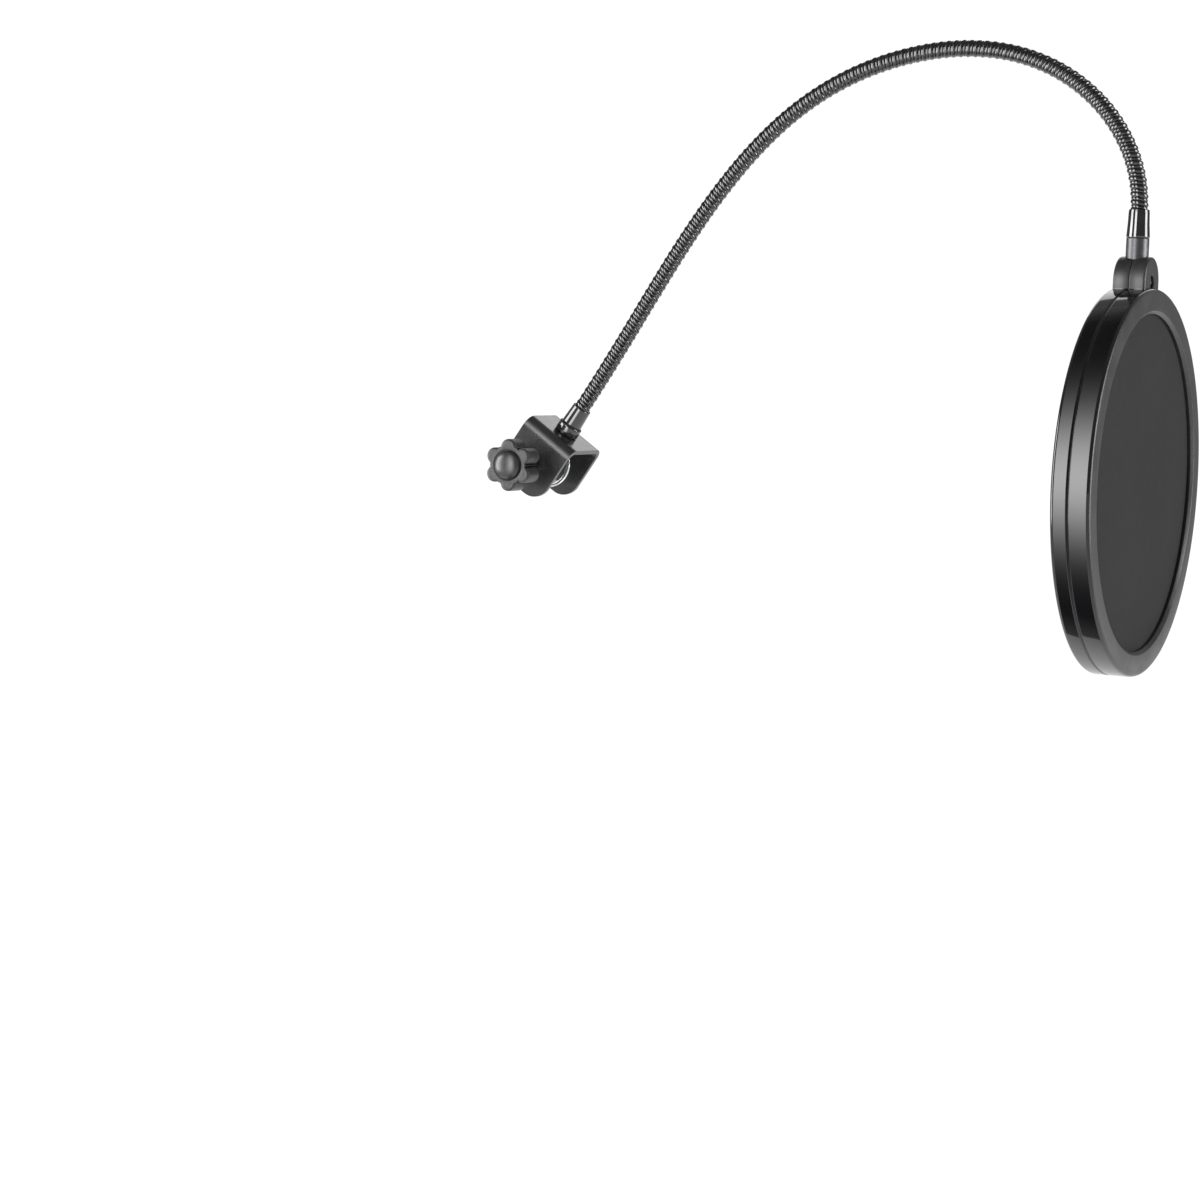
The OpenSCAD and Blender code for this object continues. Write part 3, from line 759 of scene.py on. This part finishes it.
def helix(rest_turn, reach, wire):
    """One wire: points on the middle line, pushed out to the helix, with a round section."""
    dots = start.node("GeometryNodeMeshLine", {"Count": size["Steps"]})
    index = start.node("GeometryNodeInputIndex")
    stretch = (size["To"] - size["From"] - 2 * size["Tip"]) / (size["Steps"] - 3)
    raw = size["From"] + size["Tip"] + (index - 1) * stretch
    s = start.math("MINIMUM", start.math("MAXIMUM", raw, size["From"]), size["To"])
    sample = start.node("GeometryNodeSampleCurve", {"Curves": size["Geometry"], "Length": s},
                        out="Position", mode="LENGTH", use_all_curves=True)
    tangent = sample.output("Tangent")
    inward = start.node("ShaderNodeVectorMath", {0: tangent, 1: (0, 1, 0)},
                        operation="CROSS_PRODUCT")
    turn = s / size["Pitch"] * (2 * math.pi) + rest_turn
    swing = start.node("ShaderNodeVectorMath", {
        0: inward, "Scale": start.math("COSINE", turn) * reach}, operation="SCALE")
    lift = start.node("ShaderNodeCombineXYZ", {"Y": start.math("SINE", turn) * reach})
    spot = start.node("ShaderNodeVectorMath", {0: sample, 1: swing}, operation="ADD")
    spot = start.node("ShaderNodeVectorMath", {0: spot, 1: lift}, operation="ADD")
    line = start.node("GeometryNodeSetPosition", {"Geometry": dots, "Position": spot})
    line = start.node("GeometryNodeMeshToCurve", {"Mesh": line})
    ring = start.node("GeometryNodeCurvePrimitiveCircle", {"Resolution": 10, "Radius": wire})
    return start.node("GeometryNodeCurveToMesh", {"Curve": line, "Profile Curve": ring,
                                                  "Fill Caps": True})


thick_wire = helix(0.0, size["Winding Radius"] - size["Wire Radius"], size["Wire Radius"])
thin_wire = helix(math.pi, size["Winding Radius"] - size["Filler Radius"] - size["Filler Drop"],
                  size["Filler Radius"])
both = start.node("GeometryNodeJoinGeometry", {"Geometry": thick_wire})
winding.links.new(thin_wire.socket, both.socket.node.inputs[0])
both = start.node("GeometryNodeSetShadeSmooth", {"Geometry": both})
end_tree(winding, both, size["Finish"])

# %% Middle line as a curve, and the stretches
PITCH = 3.2 * MM
WINDING_R, WIRE_R, FILLER_R, FILLER_DROP = 3.6 * MM, 1.25 * MM, 0.85 * MM, 0.28 * MM
STEPS_A_TURN, TIP = 24, 0.002 * MM
START_AT = -0.6 * MM
END_AT = LINKS * LINK_LENGTH + 4.6 * MM
guide = bpy.data.curves.new("arm_middle_line", "CURVE")
guide.dimensions = "3D"
spline = guide.splines.new("POLY")
samples = 1500
spline.points.add(samples)
for i in range(samples + 1):
    s = START_AT + (END_AT - START_AT) * i / samples
    spline.points[i].co = (*arm_point(s)[0], 1)
guide_scale = sum((spline.points[i + 1].co - spline.points[i].co).length
                  for i in range(samples)) / (END_AT - START_AT)

edges = [START_AT] + [(k + 0.5) * LINK_LENGTH for k in range(LINKS)] + [END_AT]
coils = []
for k in range(LINKS + 1):
    low, high = edges[k] - START_AT, edges[k + 1] - START_AT
    coil = grown(f"winding_{k + 1:02d}", winding, {
        "Pitch": PITCH, "Winding Radius": WINDING_R, "Wire Radius": WIRE_R,
        "Filler Radius": FILLER_R, "Filler Drop": FILLER_DROP,
        "From": low * guide_scale, "To": high * guide_scale,
        "Steps": int(STEPS_A_TURN * (high - low) / PITCH) + 3, "Tip": TIP,
        "Finish": coats["nickel"]}, guide)
    coils.append(coil)
print("winding turns:", round((END_AT - START_AT) / PITCH), "faces:",
      sum(len(c.data.polygons) for c in coils))

# %% [markdown]
# ## The round frame
# Two moulded rings meet at a V groove. Each is an outline spun round the frame's axis: a wall, a lip
# over the edge of its screen, and rounded edges. Each also carries half of the neck, a tab with a
# round top that closes on the stem's sleeve.

# %% Rings
SPLIT, FACE_AT, LIP_BACK = -1.0, 8.0, 5.5
OPEN_R, WALL_IN, GROOVE_R, TONGUE_IN, TONGUE_OUT = 67.5, 74.5, 76.9, 73.25, 74.45
ring_frame = placing(ring_centre, -UP, FRONT)
front_outline = rounded([
    (GROOVE_R, SPLIT, 0.05), (77.05, SPLIT + 0.2, 0.1), (RING_R, SPLIT + 0.55, 0.45),
    (RING_R, FACE_AT, 1.6), (68.7, FACE_AT, 0.4), (OPEN_R, 6.8, 0.35), (OPEN_R, LIP_BACK, 0.2),
    (WALL_IN, LIP_BACK, 0), (WALL_IN, SPLIT, 0)], 6)
rear_outline = rounded([
    (GROOVE_R, SPLIT, 0.05), (TONGUE_OUT, SPLIT, 0), (TONGUE_OUT, 1.4, 0.1), (TONGUE_IN, 1.4, 0.1),
    (TONGUE_IN, -3.0, 0), (WALL_IN, -3.0, 0), (WALL_IN, -LIP_BACK, 0), (OPEN_R, -LIP_BACK, 0.2),
    (OPEN_R, -6.8, 0.35), (68.7, -FACE_AT, 0.4), (RING_R, -FACE_AT, 1.6),
    (RING_R, SPLIT - 0.55, 0.45), (77.05, SPLIT - 0.2, 0.1)], 6)
front_ring = turned("front_ring_moulding", front_outline, ring_frame, "frame", 288, 40)
rear_ring = turned("rear_ring_moulding", rear_outline, ring_frame, "frame", 288, 40)

# %% Neck halves
NECK_W, NECK_UP, NECK_FOOT_R, NECK_EDGE, AROUND_NECK = 20.0, 80.0, 76.0, 1.1, 192
NECK_FRONT, NECK_BACK, HEAD_FLOOR, NUT_FLOOR = 5.7, -7.7, 3.0, -4.9
HOLE_R, HEAD_POCKET_R, NUT_POCKET_R = 1.55, 2.8, 2.78
neck_centre = ring_centre + UP * NECK_UP * MM


def neck_point(across, up, along):
    return neck_centre + Vector((along, across, up)) * MM


def neck_outline(inset, along):
    """The tab's outline round its screw: a half circle on top, straight sides into the rim."""
    half = NECK_W / 2 - inset
    loop = []
    for i in range(AROUND_NECK):
        a = 2 * math.pi * i / AROUND_NECK
        c, s = math.cos(a), math.sin(a)
        if s >= 0:
            reach = half
        else:
            floor = math.sqrt(NECK_FOOT_R ** 2 - (half * c) ** 2) - NECK_UP
            reach = min(half / max(abs(c), 1e-6), floor / s)
        loop.append(neck_point(reach * c, reach * s, along))
    return loop


def neck_hole(radius, along, sides=0):
    """A round hole's loop, or a hexagon's by its half width, with as many points as the tab's."""
    loop = []
    for i in range(AROUND_NECK):
        a = 2 * math.pi * i / AROUND_NECK
        reach = radius
        if sides:
            half = math.pi / sides
            reach = radius / math.cos((a + math.pi / 2) % (2 * half) - half)
        loop.append(neck_point(reach * math.cos(a), reach * math.sin(a), along))
    return loop


def neck_half(name, split, face, hole):
    """Loops from the floor of the screw's pocket, over the face, down the sides to the split."""
    way = 1 if face > split else -1
    loops = list(hole)
    for a in range(0, 91, 15):
        loops.append(neck_outline(NECK_EDGE * (1 - math.sin(math.radians(a))),
                                  face - way * NECK_EDGE * (1 - math.cos(math.radians(a)))))
    loops.append(neck_outline(0.0, split + way * 0.45))
    loops.append(neck_outline(0.12, split + way * 0.15))
    loops.append(neck_outline(0.4, split))
    return loft(name, loops, "frame", 40)


front_neck = neck_half("front_neck", SPLIT, NECK_FRONT, [
    neck_hole(HOLE_R, HEAD_FLOOR), neck_hole(HEAD_POCKET_R, HEAD_FLOOR),
    neck_hole(HEAD_POCKET_R, 5.35), neck_hole(3.1, NECK_FRONT)])
rear_neck = neck_half("rear_neck", SPLIT, NECK_BACK, [
    neck_hole(HOLE_R, NUT_FLOOR), neck_hole(NUT_POCKET_R, NUT_FLOOR, sides=6),
    neck_hole(NUT_POCKET_R, -7.5, sides=6), neck_hole(2.95, NECK_BACK, sides=6)])
neck_screw = turned("neck_screw_head", rounded([
    (0, 3.75, 0), (0.95, 3.75, 0), (1.25, 4.6, 0), (1.5, 4.8, 0.15), (2.5, 4.2, 0.8), (2.5, 3.0, 0.1),
    (1.5, 2.98, 0), (1.5, -7.2, 0.2), (0, -7.2, 0)], closed=False),
    placing(neck_centre, -UP, FRONT), "lacquer", 48)

# %% [markdown]
# ## The screens
# Each screen is knitted nylon, stretched flat over a hoop that sits behind the lip. Its weave is far
# too fine to model thread by thread, so the material gives it: two crossed rows of threads as bumps,
# with small uneven streaks.

# %% Cloth
THREAD_GAP = 0.55 * MM


def knitted_nylon(s):
    spot = s.node("ShaderNodeSeparateXYZ", {0: place(s)})
    level, side = spot.output("Z"), spot.output("Y")
    threads = 2 * math.pi / THREAD_GAP
    warp = s.math("SINE", side * threads)
    weft = s.math("SINE", level * threads)
    weave = (warp * weft) * 0.5 + 0.5
    ribs = s.math("SINE", side * (threads / 2)) * 0.5 + 0.5
    streak = s.node("ShaderNodeTexNoise", {"Vector": s.node("ShaderNodeMapping", {
        "Vector": place(s), "Scale": (1, 6, 1)}), "Scale": 120.0, "Detail": 3.0})
    cloud = grain(s, 24, 3.0, 0.6)
    share = (weave * 0.35 + ribs * 0.15 + streak * 0.3 + cloud * 0.2).step(0.15, 0.85)
    return {"Base Color": tint(s, share, (0.010, 0.010, 0.0105), (0.026, 0.026, 0.027)),
            "Roughness": weave.between(0.82, 0.95),
            "Normal": bump(s, weave * 0.7 + ribs * 0.3, 0.00012, 0.55)}


coats["cloth"] = finish("knitted_nylon", {"Specular IOR Level": 0.2}, knitted_nylon)
SCREEN_R, SCREEN_STEPS, SCREEN_IN, SCREEN_OUT = 74.3, 14, 5.15, 5.45


def screen(name, low, high):
    """A thin flat round sheet, closed at its edge, with even rows from its middle outwards."""
    radii = [k * SCREEN_R / SCREEN_STEPS for k in range(1, SCREEN_STEPS + 1)]
    profile = ([(0.0, low)] + [(r, low) for r in radii]
               + [(r, high) for r in reversed(radii)] + [(0.0, high)])
    return turned(name, profile, ring_frame, "cloth", 144, 40)


front_screen = screen("front_screen_cloth", SCREEN_IN, SCREEN_OUT)
rear_screen = screen("rear_screen_cloth", -SCREEN_OUT, -SCREEN_IN)
print("screens, mm across:", round(2 * SCREEN_R, 1))

# %% [markdown]
# ## Which piece moves with which
# Each piece rides on the body of the solid it stands for. The stretches of winding that lie between
# two bodies ride on neither, and the plain solids that all these stand for are hidden.

# %% Ride and replace


def stands_for(piece, body, slot, *nodes):
    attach(piece, body)
    if nodes:
        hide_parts(*nodes)


slots = {m["node"]: m["material_slot"] for m in frame["record"]["subparts"]}
print("slots:", sorted(set(slots.values())))
stands_for(bracket, "clamp", slots["clamp_bracket"], "clamp_bracket")
stands_for(thread_collar, "clamp", slots["clamp_bracket"])
stands_for(screw_thread, "screw", slots["clamp_screw"], "clamp_screw")
stands_for(pin, "screw", slots["clamp_screw"])
stands_for(screw_head, "screw", slots["clamp_screw"])
stands_for(pad, "pad", slots["pressure_pad"], "pressure_pad")
stands_for(knob, "screw", slots["knob"], "knob")
stands_for(cap, "screw", slots["knob_cap"], "knob_cap")
stands_for(collar, "clamp", slots["base_collar"], "base_collar")
stands_for(ferrule, "clamp", slots["lower_ferrule"], "lower_ferrule")
stands_for(base_head, "clamp", slots["base_screw"], "base_screw")
stands_for(top_ferrule, "arm_14", slots["upper_ferrule"], "upper_ferrule")
stands_for(sleeve, "arm_14", slots["stem_sleeve"], "stem_sleeve")
for piece in (front_ring, front_neck):
    stands_for(piece, "screens", slots["front_ring"], "front_ring")
for piece in (rear_ring, rear_neck):
    stands_for(piece, "screens", slots["rear_ring"], "rear_ring")
stands_for(neck_screw, "screens", slots["neck_screw"], "neck_screw")
for piece, node in ((front_screen, "front_screen"), (rear_screen, "rear_screen")):
    stands_for(piece, "screens", slots[node], node)
for node, coat in (("base_washer", "zinc"), ("front_hoop", "knob"), ("rear_hoop", "knob"),
                   ("neck_nut", "lacquer")):
    shown = frame["nodes"][node]
    shown.data.materials.clear()
    shown.data.materials.append(coats[coat])

for k, coil in enumerate(coils):
    if k == LINKS:
        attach(coil, "arm_14")
    else:
        first = arm_point(edges[k])[0]
        last = arm_point(edges[k + 1])[0]
        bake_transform(coil)
        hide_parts(f"arm_link_{k + 1:02d}")

# %% [markdown]
# ## Floor and light
# The piece hangs from an arm in use, so the pale floor lies well below it. Glossy black shows only
# what it reflects, and the frame's side wall is a mirror bent round the frame's axis. So the main
# light is a soft box bent round the same axis: it is brightest at the wall's level and fades up and
# down, and the wall shows that as one soft band. The surroundings look white, but light the piece
# less than they show, so that black stays black.

# %% Floor and surroundings


def pale_floor(s):
    cloud = grain(s, 3, 3.0)
    return {"Base Color": tint(s, cloud.step(0.2, 0.8), (0.86, 0.86, 0.86), (0.90, 0.90, 0.90)),
            "Roughness": cloud.between(0.7, 0.8)}


FLOOR_DROP = 1.3
floor_level = ring_low.z - FLOOR_DROP
floor_mesh = bpy.data.meshes.new("floor")
floor_mesh.from_pydata([(-15, -15, floor_level), (15, -15, floor_level), (15, 15, floor_level),
                        (-15, 15, floor_level)], [], [(0, 1, 2, 3)])
floor_mesh.materials.append(finish("pale_floor", {"Emission Color": (1, 1, 1, 1),
                                                  "Emission Strength": 0.78}, pale_floor))
floor = bpy.data.objects.new("floor", floor_mesh)
bpy.context.scene.collection.objects.link(floor)

SEEN, LIT = 1.05, 0.28
world = bpy.data.worlds.new("surroundings")
world.use_nodes = True
sky = Wire(world.node_tree)
to_camera = sky.node("ShaderNodeLightPath", out="Is Camera Ray")
background = world.node_tree.nodes["Background"]
background.inputs["Color"].default_value = (1, 1, 1, 1)
world.node_tree.links.new(to_camera.between(LIT, SEEN).socket, background.inputs["Strength"])
bpy.context.scene.world = world
bpy.context.scene.view_settings.view_transform = "Standard"

# %% Bent soft box and rear panel
BOX_R, BOX_WIDTH, BOX_LEAN = 1.1, 0.42, 0.289
BOX_LOW, BOX_HIGH, BOX_MIDDLE, BOX_SPREAD = -100, 125, 4, 32
BOX_POWER, BOX_EDGE = 10.0, 22


def box_glow(s):
    """Brightness by angle round the frame's axis: a bell that meets the surroundings at its ends."""
    spot = s.node("ShaderNodeSeparateXYZ", {0: place(s)})
    angle = s.math("ARCTAN2", spot.output("Z") - ring_centre.z, ring_centre.y - spot.output("Y"))
    degrees = angle * (180 / math.pi)
    off = (degrees - BOX_MIDDLE) / BOX_SPREAD
    above = degrees.step(BOX_HIGH - BOX_EDGE, BOX_HIGH)
    below = 1 - degrees.step(BOX_LOW, BOX_LOW + BOX_EDGE)
    glow = s.math("EXPONENT", off * off * -1) + (above + below) * (LIT / BOX_POWER)
    return {"Emission Color": tint(s, glow, (0, 0, 0), (1, 1, 1))}


def light_sheet(name, rows, material):
    """A sheet of light from rows of two corners each, not seen by the camera."""
    mesh = bpy.data.meshes.new(name)
    mesh.from_pydata([tuple(p) for row in rows for p in row], [],
                     [(2 * i, 2 * i + 1, 2 * i + 3, 2 * i + 2) for i in range(len(rows) - 1)])
    mesh.materials.append(material)
    sheet = bpy.data.objects.new(name, mesh)
    sheet.visible_camera = False
    bpy.context.scene.collection.objects.link(sheet)
    return sheet


rows = []
for a in range(BOX_LOW, BOX_HIGH + 1, 3):
    arm = Vector((0, -math.cos(math.radians(a)), math.sin(math.radians(a)))) * BOX_R
    middle = ring_centre + arm - FRONT * BOX_LEAN * BOX_R
    rows.append((middle - FRONT * BOX_WIDTH / 2, middle + FRONT * BOX_WIDTH / 2))
light_sheet("bent_soft_box", rows, finish("soft_box_light", {
    "Base Color": (0, 0, 0, 1), "Emission Strength": BOX_POWER}, box_glow))


def soft_light(name, at, towards, wide, tall, watts):
    light = bpy.data.lights.new(name, "AREA")
    light.shape = "RECTANGLE"
    light.size = wide
    light.size_y = tall
    light.energy = watts
    made = bpy.data.objects.new(name, light)
    back = (Vector(at) - Vector(towards)).normalized()
    made.matrix_world = placing(Vector(at), UP.cross(back), back)
    made.visible_camera = False
    bpy.context.scene.collection.objects.link(made)
    return made


soft_light("rear_panel", Vector((-0.20, 1.25, 0.80)), Vector((0, 0, 0)),
           wide=1.1, tall=0.6, watts=3.2)
soft_light("left_strip", arm_end + Vector((-1.62, -0.77, 0.05)), arm_end,
           wide=0.85, tall=1.4, watts=36)
soft_light("right_strip", arm_end + Vector((1.25, 0.30, 0.1)), arm_end,
           wide=0.65, tall=1.0, watts=19)
print("bent soft box rows:", len(rows))
